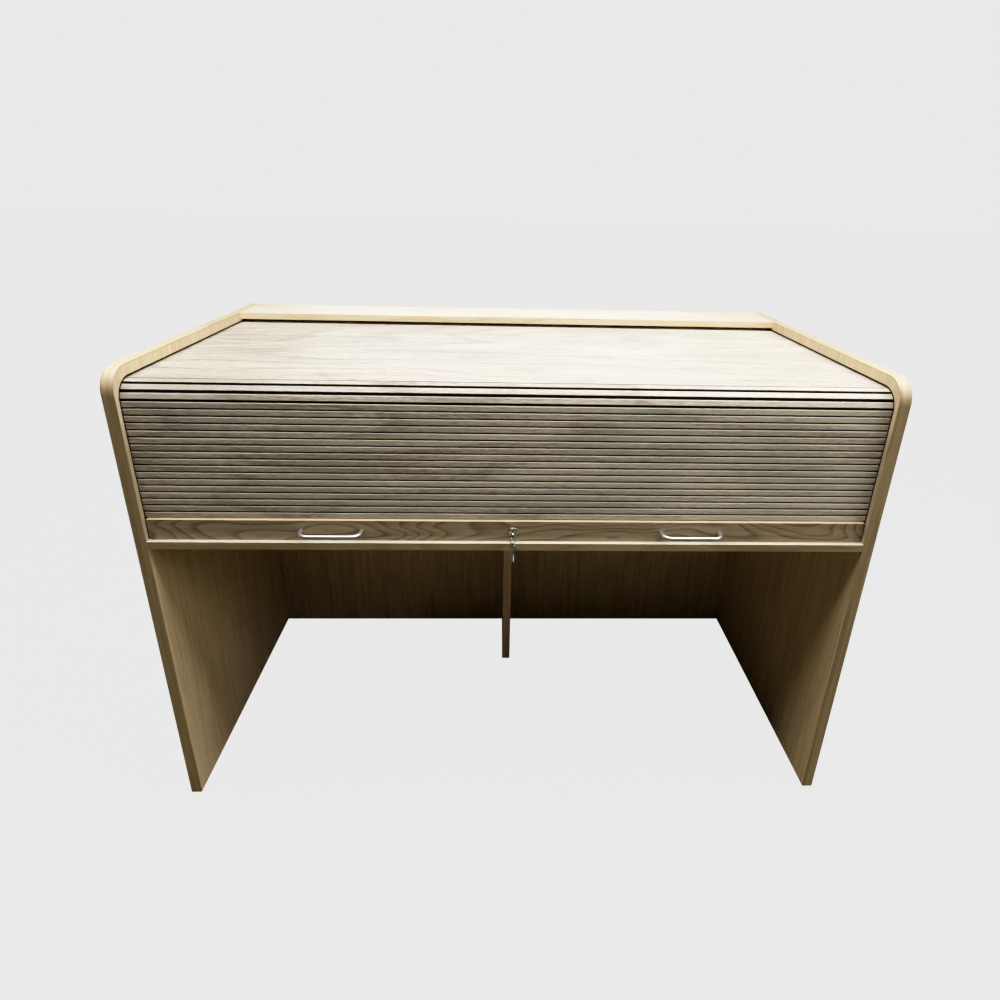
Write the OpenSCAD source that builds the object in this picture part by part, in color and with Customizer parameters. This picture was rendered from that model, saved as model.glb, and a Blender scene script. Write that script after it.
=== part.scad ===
// Roll top desk with a slatted tambour curtain.
// X runs along the width, the front faces -Y and Z is up, with the floor at Z = 0.
// The origin is under the middle of the whole desk, handles included.

/* [Overall size] */
// Width over the end panels
desk_w = 1600; // [1200:10:2000]
// Depth of the end panels, front to back
desk_d = 800; // [750:5:900]
// Height of the end panels
desk_h = 1100; // [1080:5:1150]
// Height of the working surface above the floor
worktop_h = 727; // [700:1:740]

/* [Boards] */
// Thickness of the end panels and of the centre support
side_t = 25; // [22:1:30]
// Thickness of every other board
board_t = 18; // [16:1:19]
// Radius of the end panels' front top corner
corner_r = 50; // [46:1:80]
// Thickness of the edging strips
edging_t = 2; // [1:0.5:3]
// Depth of the fixed rear top panel, front to back
rear_top_d = 160; // [120:5:200]
// Distance from the rear of the desk to the front of the modesty panel
modesty_inset = 103; // [90:1:120]
// Depth of the centre support, front to back
support_d = 207; // [100:1:400]

/* [Curtain] */
// Distance from one slat to the next
slat_pitch = 15.25; // [14:0.25:16]
// Gap between two slats on a straight run
slat_gap = 3.25; // [2:0.25:4]
// Thickness of a slat
slat_t = 8; // [6:0.5:9]
// Bevel along the slats' long front edges
slat_bevel = 1.2; // [0.5:0.1:2]
// Thickness of the canvas backing
canvas_t = 0.8; // [0.5:0.1:1]
// Slats that leave the front as the curtain opens
front_slats_n = 16; // [12:1:16]
// Slats that hang down behind when the curtain is shut
tail_slats_n = 5; // [3:1:6]

/* [Track] */
// Distance of the groove's edge behind the front of the end panels
lip_front = 12; // [11:1:18]
// Distance of the groove's edge below the top of the end panels
lip_top = 23; // [20:1:26]
// Radius of the groove's edge round the corner
lip_r = 45; // [40:1:50]
// Depth of the groove in the end panels
groove_d = 10; // [8:1:14]
// Thickness of the track's outer wall, which shows as a dark line
track_lip_t = 4; // [2:0.5:4]

/* [Lead rail] */
// Height of the lead rail
rail_h = 48; // [45:1:60]
// Thickness of the lead rail
rail_t = 18; // [16:1:20]
// Distance of the rail's face behind the front of the end panels
rail_set = 9.5; // [8:0.5:14]
// Distance between the centres of a handle's two fixings
handle_cc = 128; // [96:32:160]
// How far a handle stands out from the rail
handle_reach = 32; // [30:1:38]
// Thickness of a handle's bar
handle_bar_d = 8; // [6:0.5:10]

/* [Hidden] */
$fn = 48;

// Colours
board_colour = [0.83, 0.72, 0.52];
edging_colour = [0.90, 0.82, 0.64];
slat_colour = [0.88, 0.83, 0.70];
rail_colour = [0.60, 0.50, 0.36];
track_colour = [0.06, 0.05, 0.05];
canvas_colour = [0.45, 0.42, 0.36];
steel_colour = [0.80, 0.81, 0.83];
zinc_colour = [0.62, 0.63, 0.65];
dowel_colour = [0.78, 0.66, 0.46];

// Fine clearances
slack = 0.1;      // round and between fixed pieces let into each other
run_gap = 0.05;   // radial running clearance of turning metal pieces
rest_gap = 0.4;   // under the lead rail when the curtain is shut
cut = 1;          // how far a cutting shape runs past a face

// Small screws
small_screw_r = 1.5;
small_head_r = 3;

// Front to back positions
front_y = -(desk_d - (handle_reach - rail_set)) / 2;
rear_y = front_y + desk_d;
inner_w = desk_w - 2 * side_t;
modesty_y = rear_y - modesty_inset;
inner_back_y = modesty_y + board_t;
worktop_end_y = inner_back_y + board_t;
outer_back_y = rear_y - board_t;
rear_top_y = rear_y - rear_top_d;
support_y = modesty_y - support_d;

// Heights
worktop_z = worktop_h - board_t;
rear_top_z = desk_h - board_t;
rail_z = worktop_h + rest_gap;
rail_top_z = worktop_h + rail_h;
outer_back_drop = 37;
outer_back_z = worktop_h - outer_back_drop;
inner_back_drop = 50;
inner_back_top_z = desk_h - inner_back_drop;

// The curtain's path is the line of the canvas on the back of the slats. It starts at the top of the
// lead rail, goes up, round the front bend, back, round the rear bend and down.
lip_gap = 5;
lip_rear = 25;
path_in = lip_gap + slat_t;
bend_r = lip_r - path_in;
front_bend_y = front_y + lip_front + lip_r;
rear_bend_y = rear_y - lip_rear - lip_r;
bend_z = desk_h - lip_top - lip_r;
bend_len = PI / 2 * bend_r;
front_len = bend_z - rail_top_z;
s_top = front_len + bend_len;
s_rear_bend = s_top + rear_bend_y - front_bend_y;
s_tail = s_rear_bend + bend_len;
slat_w = slat_pitch - slat_gap;
slat_end = 7;
slat_len = inner_w + 2 * slat_end;
tail_first = ceil(s_tail / slat_pitch - 0.5);
rear_bend_first = ceil(s_rear_bend / slat_pitch - 0.5);
corner_last = floor(s_top / slat_pitch - 0.5) + 1;
tail_top_z = bend_z - rest_gap;
tail_low_z = bend_z - ((tail_first + tail_slats_n) * slat_pitch - s_tail);

// Track, measured outward from the path
groove_out = path_in;
groove_in = 3.3;
track_wall = 1.5;
track_end_gap = 10;
track_low_z = outer_back_z + track_end_gap;

// Lock
lock_z = worktop_h + rail_h / 2;
rail_y = front_y + rail_set;
rail_back_y = rail_y + rail_t;
housing_r = 7.75;
flange_r = 10.5;
flange_t = 3;
flange_round_r = 1.5;
plug_r = 5.5;
plug_stand = 0.8;
plug_front_y = rail_y - flange_t - plug_stand;
nut_t = 4;
nut_af = 20;
housing_stub = 1.5;
housing_end_y = rail_back_y + nut_t + housing_stub;
cam_t = 3;
cam_w = 10;
cam_reach = 34;
cam_boss_r = 8;
cam_gap = 0.5;
cam_y = housing_end_y + cam_gap;
plug_end_y = cam_y + cam_t;
plug_tail = 3.5;
cam_screw_len = 4.5;
cam_head_r = 5.5;
cam_head_h = 2.2;

// Keys
key_t = 2;
blade_w = 7;
blade_len = 20;
bow_r = 9;
key_hole_r = 2.8;
key_hole_set = 5;
neck_len = 7;
neck_w = 8;
key_slack = 0.2;
bitting_first = 4;
bitting_step = 4;
bitting_n = 4;
ring_r = 8.2;
ring_wire_r = 1;
ring_turn = 45;
ring_sag = 0.9;
spare_sag = 1.6;
bow_y = plug_front_y - neck_len - bow_r;
key_hole_y = bow_y - key_hole_set;
ring_z = lock_z - ring_sag - ring_r;
spare_hole_z = ring_z - ring_r - spare_sag;

// Strike plate
strike_t = 1.5;
strike_w = 50;
strike_d = 18;
strike_slot_w = 32;
strike_slot_d = 5.4;
strike_x = 9.5;
strike_y = cam_y + cam_t / 2;
strike_pocket = 13;
strike_screw_x = 20.5;
strike_screw_len = 12;
strike_head_h = 1.2;

// Canvas clamp on the back of the lead rail
rebate_h = 14;
rebate_t = 2.5;
strip_h = 12;
strip_t = 1.5;
strip_end_gap = 4;
strip_len = inner_w - 2 * strip_end_gap;
strip_screw_len = 13;
strip_head_h = 1.8;
strip_screw_xs = [-700, -420, -140, 140, 420, 700];

// Nylon runners on the ends of the lead rail
rail_end_gap = 3;
runner_margin = 9;
runner_zs = [rail_z + runner_margin, rail_top_z - runner_margin - rebate_h];
runner_pin_r = 2.5;
runner_pin_len = 15;
runner_w = 9.4;
runner_h = 12;
runner_end_gap = 1;
track_mid_y = front_bend_y - bend_r - (groove_out - track_lip_t + track_wall - groove_in) / 2;

// Handles
handle_x = inner_w / 4;
handle_bend_r = 20;
handle_screw_r = 2;
handle_screw_grip = 8;
handle_head_r = 4;
handle_head_h = 2.6;
screw_room = 0.25;

// Board fixings: a cam and a dowel at each place, on both ends of the board
cam_set = 24;
cam_r = 7.4;
cam_h = 12.5;
cam_room = 0.2;
cam_mouth = 1;
cam_slot_len = 9;
cam_slot_w = 1.6;
bolt_r = 3.5;
bolt_room = 0.5;
bolt_end_gap = 4.5;
thread_r = 2.5;
thread_len = 11;
dowel_r = 4;
dowel_in_board = 20;
dowel_in_side = 12;
dowel_step = 40;
mid = board_t / 2;
// Each row is the Y and Z of a joint, the way its cam opens and the way to its dowel
worktop_joints = [
  [front_y + 120, worktop_z + mid, "down", [1, 0]],
  [front_y + 600, worktop_z + mid, "down", [-1, 0]]
];
rear_top_joints = [
  [rear_top_y + 30, rear_top_z + mid, "down", [1, 0]],
  [rear_y - 35, rear_top_z + mid, "down", [-0.8, 0]]
];
modesty_joints = [
  [modesty_y + mid, 120, "back", [0, 1]],
  [modesty_y + mid, worktop_z - 110, "back", [0, -1]]
];
inner_back_joints = [
  [inner_back_y + mid, worktop_h + 70, "back", [0, 1]],
  [inner_back_y + mid, inner_back_top_z - 70, "back", [0, -1]]
];
outer_back_joints = [
  [outer_back_y + mid, outer_back_z + 70, "front", [0, 1]],
  [outer_back_y + mid, rear_top_z - 70, "front", [0, -1]]
];
all_joints = concat(worktop_joints, rear_top_joints, modesty_joints, inner_back_joints,
                    outer_back_joints);
support_dowel_zs = [120, 360, 600];
support_dowel_ys = [support_y + 50, modesty_y - 50];
support_dowel_len = 24;

// Tangent angle of the path at distance s: 90 is up, 0 is back, -90 is down
function path_angle(s) =
  s < front_len ? 90 :
  s < s_top ? 90 - (s - front_len) / bend_len * 90 :
  s < s_rear_bend ? 0 :
  s < s_tail ? -(s - s_rear_bend) / bend_len * 90 : -90;

function path_normal(a) = [-sin(a), cos(a)];

// Y and Z of the path at distance s
function path_point(s) =
  s < front_len ? [front_bend_y - bend_r, rail_top_z + s] :
  s < s_top ? [front_bend_y, bend_z] + bend_r * path_normal(path_angle(s)) :
  s < s_rear_bend ? [front_bend_y + s - s_top, bend_z + bend_r] :
  s < s_tail ? [rear_bend_y, bend_z] + bend_r * path_normal(path_angle(s)) :
  [rear_bend_y + bend_r, bend_z - (s - s_tail)];

// Extrudes a YZ outline along X from x0 to x1
module along_x(x0, x1) {
  translate([x0, 0, 0])
    rotate([90, 0, 90])
      linear_extrude(height = x1 - x0)
        children();
}

// A cylinder along X, starting at a point and running the given length towards +X or -X
module rod_x(point, r, len, side = 1) {
  translate(point)
    rotate([0, 90 * side, 0])
      cylinder(r = r, h = len);
}

// A cylinder along Y, from y0 to y1
module rod_y(x, y0, y1, z, r) {
  translate([x, y0, z])
    rotate([-90, 0, 0])
      cylinder(r = r, h = y1 - y0);
}

// A box from its lowest to its highest corner
module block(low, high) {
  translate(low)
    cube(high - low);
}

// Outline under the curtain's path, with the path moved outward by k
module arch(k, low_z) {
  r = bend_r + k;
  translate([front_bend_y - r, low_z])
    square([rear_bend_y - front_bend_y + 2 * r, bend_z - low_z]);
  translate([front_bend_y, bend_z - cut])
    square([rear_bend_y - front_bend_y, r + cut]);
  translate([front_bend_y, bend_z])
    circle(r);
  translate([rear_bend_y, bend_z])
    circle(r);
}

// Band between two lines beside the path. It ends at its own height in front and behind.
module band(k_out, k_in, front_z, back_z) {
  low_z = min(front_z, back_z, bend_z - lip_r) - cut;
  difference() {
    arch(k_out, low_z);
    arch(k_in, low_z - cut);
    translate([front_y, low_z - cut])
      square([desk_d / 2, front_z - low_z + cut]);
    translate([front_y + desk_d / 2, low_z - cut])
      square([desk_d / 2, back_z - low_z + cut]);
  }
}

// Outline of an end panel, drawn in from its front and top by the given amount
module side_outline(inset) {
  r = corner_r - inset;
  y0 = front_y + inset;
  z1 = desk_h - inset;
  translate([y0, 0])
    square([rear_y - y0, z1 - r]);
  translate([y0 + r, z1 - r - cut])
    square([rear_y - y0 - r, r + cut]);
  translate([y0 + r, z1 - r])
    circle(r);
}

// Bores of a board's joints, in the board's ends
module board_bores(joints) {
  for (side = [-1, 1], j = joints) {
    edge = side * inner_w / 2;
    rod_x([edge + side * cut, j[0], j[1]], bolt_r + bolt_room, cam_set + cut, -side);
    translate([edge - side * cam_set, j[0], j[1]])
      cam_turn(j[2])
        translate([0, 0, -cut - mid])
          cylinder(r = cam_r + cam_room, h = cam_h + cam_room + cut);
    rod_x([edge + side * cut, j[0] + dowel_step * j[3][0], j[1] + dowel_step * j[3][1]],
          dowel_r + slack, dowel_in_board + slack + cut, -side);
  }
}

// Turns a cam that stands on Z = -mid so that its open face looks the given way
module cam_turn(way) {
  angle = way == "down" ? 0 : way == "back" ? 90 : -90;
  rotate([angle, 0, 0])
    children();
}

// An end panel: side is -1 on the left and 1 on the right
module side_panel(side) {
  x_in = side * inner_w / 2;
  color(board_colour)
    difference() {
      along_x(min(x_in, side * desk_w / 2), max(x_in, side * desk_w / 2))
        side_outline(edging_t);
      along_x(side > 0 ? x_in - cut : x_in - groove_d, side > 0 ? x_in + groove_d : x_in + cut)
        band(groove_out, -groove_in, worktop_h, track_low_z);
      for (j = all_joints) {
        rod_x([x_in - side * cut, j[0], j[1]], thread_r + slack, thread_len + slack + cut, side);
        rod_x([x_in - side * cut, j[0] + dowel_step * j[3][0], j[1] + dowel_step * j[3][1]],
              dowel_r + slack, dowel_in_side + slack + cut, side);
      }
    }
}

module left_side_panel() {
  side_panel(-1);
}

module right_side_panel() {
  side_panel(1);
}

module side_edging(side) {
  color(edging_colour)
    along_x(side > 0 ? inner_w / 2 : -desk_w / 2, side > 0 ? desk_w / 2 : -inner_w / 2)
      difference() {
        side_outline(0);
        side_outline(edging_t);
      }
}

module left_edging() {
  side_edging(-1);
}

module right_edging() {
  side_edging(1);
}

module worktop() {
  color(board_colour)
    difference() {
      block([-inner_w / 2, front_y + edging_t, worktop_z], [inner_w / 2, worktop_end_y, worktop_h]);
      board_bores(worktop_joints);
      for (y = support_dowel_ys)
        translate([0, y, worktop_z - cut])
          cylinder(r = dowel_r + slack, h = support_dowel_len / 2 + slack + cut);
      // recess and pocket of the strike plate
      translate([strike_x, strike_y, worktop_h])
        cube([strike_w + 2 * slack, strike_d + 2 * slack, 2 * strike_t], center = true);
      translate([strike_x, strike_y, worktop_h])
        cube([strike_slot_w, strike_slot_d, 2 * strike_pocket], center = true);
      for (side = [-1, 1])
        translate([strike_x + side * strike_screw_x, strike_y, worktop_h - strike_screw_len])
          cylinder(r = small_screw_r + slack, h = strike_screw_len + cut);
    }
}

module worktop_edging() {
  color(edging_colour)
    block([-inner_w / 2, front_y, worktop_z], [inner_w / 2, front_y + edging_t, worktop_h]);
}

module rear_top_panel() {
  color(board_colour)
    difference() {
      block([-inner_w / 2, rear_top_y + edging_t, rear_top_z], [inner_w / 2, rear_y, desk_h]);
      board_bores(rear_top_joints);
    }
}

module rear_top_edging() {
  color(edging_colour)
    block([-inner_w / 2, rear_top_y, rear_top_z], [inner_w / 2, rear_top_y + edging_t, desk_h]);
}

module modesty_panel() {
  color(board_colour)
    difference() {
      block([-inner_w / 2, modesty_y, 0], [inner_w / 2, modesty_y + board_t, worktop_z]);
      board_bores(modesty_joints);
      for (z = support_dowel_zs)
        rod_y(0, modesty_y - cut, modesty_y + support_dowel_len / 2 + slack, z, dowel_r + slack);
    }
}

module centre_support() {
  color(board_colour)
    difference() {
      block([-side_t / 2, support_y + edging_t, 0], [side_t / 2, modesty_y, worktop_z]);
      for (z = support_dowel_zs)
        rod_y(0, modesty_y - support_dowel_len / 2 - slack, modesty_y + cut, z, dowel_r + slack);
      for (y = support_dowel_ys)
        translate([0, y, worktop_z - support_dowel_len / 2 - slack])
          cylinder(r = dowel_r + slack, h = support_dowel_len / 2 + slack + cut);
    }
}

module centre_support_edging() {
  color(edging_colour)
    block([-side_t / 2, support_y, 0], [side_t / 2, support_y + edging_t, worktop_z]);
}

module inner_back_panel() {
  color(board_colour)
    difference() {
      block([-inner_w / 2, inner_back_y, worktop_h],
            [inner_w / 2, inner_back_y + board_t, inner_back_top_z]);
      board_bores(inner_back_joints);
    }
}

module outer_back_panel() {
  color(board_colour)
    difference() {
      block([-inner_w / 2, outer_back_y, outer_back_z], [inner_w / 2, rear_y, rear_top_z]);
      board_bores(outer_back_joints);
    }
}

// Plastic channel let into an end panel's groove
module track(side) {
  x_in = inner_w / 2;
  base = groove_d - slack;
  color(track_colour)
    mirror([side > 0 ? 0 : 1, 0, 0])
      difference() {
        along_x(x_in, x_in + base)
          band(groove_out - slack, slack - groove_in, worktop_h, track_low_z);
        along_x(x_in - cut, x_in + base - track_wall)
          band(groove_out - track_lip_t, track_wall - groove_in, worktop_h - cut, track_low_z - cut);
      }
}

module left_track() {
  track(-1);
}

module right_track() {
  track(1);
}

// Section of a slat: along the path, and outward from the canvas
module slat_section() {
  w = slat_w / 2;
  b = slat_bevel;
  polygon([[-w, 0], [w, 0], [w, slat_t - b], [w - b, slat_t], [b - w, slat_t], [-w, slat_t - b]]);
}

// Slats number first to last, counted from the lead rail
module slat_run(first, last) {
  color(slat_colour)
    for (i = [first : last]) {
      s = (i + 0.5) * slat_pitch;
      along_x(-slat_len / 2, slat_len / 2)
        translate(path_point(s))
          rotate(path_angle(s))
            slat_section();
    }
}

module front_slats() {
  slat_run(0, front_slats_n - 1);
}

module corner_slats() {
  slat_run(front_slats_n, corner_last);
}

module top_slats() {
  slat_run(corner_last + 1, rear_bend_first - 1);
}

module rear_corner_slats() {
  slat_run(rear_bend_first, tail_first - 1);
}

module tail_slats() {
  slat_run(tail_first, tail_first + tail_slats_n - 1);
}

// The canvas lies just inside the path
module front_canvas() {
  y0 = front_bend_y - bend_r + slack / 2;
  color(canvas_colour)
    block([-inner_w / 2, y0, rail_top_z + rest_gap],
          [inner_w / 2, y0 + canvas_t, rail_top_z + front_slats_n * slat_pitch - rest_gap]);
}

module top_canvas() {
  color(canvas_colour)
    along_x(-inner_w / 2, inner_w / 2)
      band(-slack / 2, -slack / 2 - canvas_t, rail_top_z + front_slats_n * slat_pitch, bend_z);
}

module tail_canvas() {
  y1 = rear_bend_y + bend_r - slack / 2;
  color(canvas_colour)
    block([-inner_w / 2, y1 - canvas_t, tail_low_z], [inner_w / 2, y1, tail_top_z]);
}

module lead_rail() {
  color(rail_colour)
    difference() {
      block([rail_end_gap - inner_w / 2, rail_y, rail_z],
            [inner_w / 2 - rail_end_gap, rail_back_y, rail_top_z]);
      // rebate for the canvas and its clamping strip
      block([-inner_w / 2, rail_back_y - rebate_t, rail_top_z - rebate_h],
            [inner_w / 2, rail_back_y + cut, rail_top_z + cut]);
      rod_y(0, rail_y - cut, rail_back_y + cut, lock_z, housing_r + screw_room);
      for (side = [-1, 1], leg = [-1, 1])
        rod_y(side * handle_x + leg * handle_cc / 2, rail_y - cut, rail_back_y + cut, lock_z,
              handle_screw_r + screw_room);
      for (x = strip_screw_xs)
        rod_y(x, rail_back_y - rebate_t - strip_screw_len, rail_back_y, rail_top_z - strip_h / 2,
              small_screw_r + slack);
      for (side = [-1, 1], z = runner_zs)
        rod_x([side * (inner_w / 2 - rail_end_gap + cut), track_mid_y, z], runner_pin_r + slack,
              runner_pin_len + slack + cut, -side);
    }
}

module rail_runners() {
  x0 = inner_w / 2 - rail_end_gap + slack;
  x1 = inner_w / 2 + groove_d - slack - track_wall - runner_end_gap;
  color(track_colour)
    for (side = [-1, 1], z = runner_zs)
      mirror([side > 0 ? 0 : 1, 0, 0]) {
        block([x0, track_mid_y - runner_w / 2, z - runner_h / 2],
              [x1, track_mid_y + runner_w / 2, z + runner_h / 2]);
        rod_x([x0 - runner_pin_len, track_mid_y, z], runner_pin_r, runner_pin_len + slack);
      }
}

module canvas_tab() {
  y0 = rail_back_y - rebate_t;
  color(canvas_colour)
    difference() {
      block([-strip_len / 2, y0 + slack, rail_top_z - strip_h],
            [strip_len / 2, y0 + slack + canvas_t, rail_top_z]);
      for (x = strip_screw_xs)
        rod_y(x, y0 - cut, y0 + canvas_t + cut, rail_top_z - strip_h / 2, small_screw_r + slack);
    }
}

module canvas_strip() {
  y0 = rail_back_y - rebate_t + canvas_t + 1.5 * slack;
  color(zinc_colour)
    difference() {
      block([-strip_len / 2, y0, rail_top_z - strip_h],
            [strip_len / 2, y0 + strip_t, rail_top_z]);
      for (x = strip_screw_xs)
        rod_y(x, y0 - cut, y0 + strip_t + cut, rail_top_z - strip_h / 2, small_screw_r + slack);
    }
}

module strip_screws() {
  y0 = rail_back_y - rebate_t + canvas_t + 1.5 * slack + strip_t;
  color(zinc_colour)
    for (x = strip_screw_xs) {
      rod_y(x, y0 - strip_screw_len + slack, y0 + slack, rail_top_z - strip_h / 2, small_screw_r);
      difference() {
        rod_y(x, y0 + slack / 2, y0 + strip_head_h, rail_top_z - strip_h / 2, small_head_r);
        cross_recess(x, y0 + strip_head_h, rail_top_z - strip_h / 2, small_head_r);
      }
    }
}

// A cross cut 1 mm deep in a screw's head that looks along +Y
module cross_recess(x, y, z, size) {
  for (a = [0, 90])
    translate([x, y, z])
      rotate([0, a, 0])
        cube([size, 2, size / 4], center = true);
}

// A bow handle in one piece: two legs, two bends and a bar
module handle(side) {
  bar_y = rail_y - handle_reach + handle_bar_d / 2;
  r = handle_bar_d / 2;
  color(steel_colour)
    translate([side * handle_x, 0, lock_z])
      difference() {
        union() {
          for (leg = [-1, 1])
            mirror([leg > 0 ? 0 : 1, 0, 0]) {
              rod_y(handle_cc / 2, bar_y + handle_bend_r, rail_y, 0, r);
              translate([handle_cc / 2 - handle_bend_r, bar_y + handle_bend_r, 0])
                rotate([0, 0, -90])
                  rotate_extrude(angle = 90)
                    translate([handle_bend_r, 0])
                      circle(r);
            }
          rod_x([handle_bend_r - handle_cc / 2, bar_y, 0], r, handle_cc - 2 * handle_bend_r);
        }
        for (leg = [-1, 1])
          rod_y(leg * handle_cc / 2, rail_y - handle_screw_grip - cut, rail_y + cut, 0,
                handle_screw_r + slack);
      }
}

module left_handle() {
  handle(-1);
}

module right_handle() {
  handle(1);
}

module handle_screws() {
  color(zinc_colour)
    for (side = [-1, 1], leg = [-1, 1]) {
      x = side * handle_x + leg * handle_cc / 2;
      rod_y(x, rail_y - handle_screw_grip, rail_back_y + 2 * slack, lock_z, handle_screw_r);
      difference() {
        rod_y(x, rail_back_y + slack, rail_back_y + handle_head_h, lock_z, handle_head_r);
        cross_recess(x, rail_back_y + handle_head_h, lock_z, handle_head_r);
      }
    }
}

// Threaded body of the lock, with its round face and a short barrel
module lock_housing() {
  color(steel_colour)
    difference() {
      union() {
        rod_y(0, rail_y - slack, housing_end_y, lock_z, housing_r);
        rod_y(0, rail_y - flange_t + flange_round_r, rail_y, lock_z, flange_r);
        rod_y(0, rail_y - flange_t, rail_y, lock_z, flange_r - flange_round_r);
        translate([0, rail_y - flange_t + flange_round_r, lock_z])
          rotate([90, 0, 0])
            rotate_extrude()
              translate([flange_r - flange_round_r, 0])
                circle(flange_round_r);
      }
      rod_y(0, rail_y - flange_t - cut, housing_end_y + cut, lock_z, plug_r + run_gap);
    }
}

module lock_nut() {
  color(zinc_colour)
    difference() {
      translate([0, rail_back_y, lock_z])
        rotate([-90, 0, 0])
          cylinder(d = nut_af / cos(30), h = nut_t, $fn = 6);
      rod_y(0, rail_back_y - cut, rail_back_y + nut_t + cut, lock_z, housing_r + slack);
    }
}

// Turning plug with its keyway and a threaded hole for the cam's screw
module lock_plug() {
  color(steel_colour)
    difference() {
      union() {
        rod_y(0, plug_front_y, cam_y - slack, lock_z, plug_r);
        block([-plug_tail, housing_end_y, lock_z - plug_tail],
              [plug_tail, plug_end_y, lock_z + plug_tail]);
      }
      block([-key_t / 2 - key_slack, plug_front_y - cut, lock_z - blade_w / 2 - key_slack],
            [key_t / 2 + key_slack, plug_front_y + blade_len + cut, lock_z + blade_w / 2 + key_slack]);
      rod_y(0, plug_end_y - cam_screw_len - slack, plug_end_y + cut, lock_z, small_screw_r + slack);
    }
}

// Cam that swings down through the strike plate when the key is turned
module lock_cam() {
  color(zinc_colour)
    difference() {
      union() {
        rod_y(0, cam_y, cam_y + cam_t - slack, lock_z, cam_boss_r);
        block([0, cam_y, lock_z - cam_w / 2], [cam_reach, cam_y + cam_t - slack, lock_z + cam_w / 2]);
      }
      block([-plug_tail - slack, cam_y - cut, lock_z - plug_tail - slack],
            [plug_tail + slack, cam_y + cam_t + cut, lock_z + plug_tail + slack]);
    }
}

module cam_screw() {
  color(zinc_colour)
    difference() {
      union() {
        rod_y(0, plug_end_y - cam_screw_len, plug_end_y + slack, lock_z, small_screw_r);
        rod_y(0, plug_end_y + slack / 2, plug_end_y + cam_head_h, lock_z, cam_head_r);
      }
      cross_recess(0, plug_end_y + cam_head_h, lock_z, plug_tail);
    }
}

// A flat key whose bow lies in the YZ plane. The hole in the bow is at the origin and the blade
// points along +Y.
module key_shape() {
  blade_start = key_hole_set + bow_r + neck_len;
  difference() {
    union() {
      translate([-key_t / 2, key_hole_set, 0])
        rotate([0, 90, 0])
          cylinder(r = bow_r, h = key_t);
      block([-key_t / 2, blade_start - neck_len - key_t, -neck_w / 2],
            [key_t / 2, blade_start - rest_gap, neck_w / 2]);
      block([-key_t / 2, blade_start - neck_len, -blade_w / 2],
            [key_t / 2, blade_start + blade_len, blade_w / 2]);
    }
    rod_x([-key_t, 0, 0], key_hole_r, 2 * key_t);
    // bitting cut into the blade's lower edge, in three depths
    for (i = [0 : bitting_n - 1]) {
      notch = 1.6 + 0.5 * (i % 3);
      translate([0, blade_start + bitting_first + bitting_step * i, -blade_w / 2])
        rotate([45, 0, 0])
          cube([2 * key_t, notch, notch], center = true);
    }
  }
}

module key() {
  color(steel_colour)
    translate([0, key_hole_y, lock_z])
      key_shape();
}

module key_ring() {
  color(steel_colour)
    translate([0, key_hole_y, ring_z])
      rotate([90, 0, ring_turn])
        rotate_extrude()
          translate([ring_r, 0])
            circle(ring_wire_r, $fn = 24);
}

module spare_key() {
  color(steel_colour)
    translate([0, key_hole_y, spare_hole_z])
      rotate([0, 0, ring_turn])
        rotate([-90, 0, 0])
          key_shape();
}

module strike_plate() {
  color(zinc_colour)
    difference() {
      block([strike_x - strike_w / 2, strike_y - strike_d / 2, worktop_h - strike_t],
            [strike_x + strike_w / 2, strike_y + strike_d / 2, worktop_h]);
      translate([strike_x, strike_y, worktop_h])
        cube([strike_slot_w, strike_slot_d, 4 * strike_t], center = true);
      for (side = [-1, 1])
        translate([strike_x + side * strike_screw_x, strike_y, worktop_h - strike_t - cut])
          cylinder(r = small_screw_r + slack, h = strike_t + 2 * cut);
    }
}

module strike_screws() {
  color(zinc_colour)
    for (side = [-1, 1])
      translate([strike_x + side * strike_screw_x, strike_y, worktop_h])
        difference() {
          union() {
            translate([0, 0, slack - strike_screw_len])
              cylinder(r = small_screw_r, h = strike_screw_len);
            translate([0, 0, slack / 2])
              cylinder(r1 = small_head_r, r2 = small_head_r - strike_head_h / 2, h = strike_head_h);
          }
          translate([0, 0, strike_head_h])
            cube([small_head_r, small_head_r / 4, strike_head_h], center = true);
        }
}

module cam_bolts() {
  color(zinc_colour)
    for (side = [-1, 1], j = all_joints) {
      edge = side * inner_w / 2;
      rod_x([edge - side * slack, j[0], j[1]], thread_r, thread_len, side);
      rod_x([edge, j[0], j[1]], bolt_r, cam_set - bolt_end_gap, -side);
    }
}

module cam_discs() {
  color(zinc_colour)
    for (side = [-1, 1], j = all_joints)
      translate([side * (inner_w / 2 - cam_set), j[0], j[1]])
        cam_turn(j[2])
          translate([0, 0, -mid])
            difference() {
              cylinder(r = cam_r, h = cam_h);
              // mouth for the bolt's head
              translate([side * cam_r, 0, mid])
                cube([2 * (cam_r - cam_mouth), 2 * (bolt_r + bolt_room), 2 * (bolt_r + bolt_room)],
                     center = true);
              for (a = [45, 135])
                rotate([0, 0, a])
                  cube([cam_slot_len, cam_slot_w, cam_slot_w * 2], center = true);
            }
}

module wood_dowels() {
  color(dowel_colour) {
    for (side = [-1, 1], j = all_joints)
      rod_x([side * (inner_w / 2 + dowel_in_side), j[0] + dowel_step * j[3][0],
             j[1] + dowel_step * j[3][1]], dowel_r, dowel_in_side + dowel_in_board, -side);
    for (z = support_dowel_zs)
      rod_y(0, modesty_y - support_dowel_len / 2, modesty_y + support_dowel_len / 2, z, dowel_r);
    for (y = support_dowel_ys)
      translate([0, y, worktop_z - support_dowel_len / 2])
        cylinder(r = dowel_r, h = support_dowel_len);
  }
}

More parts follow.
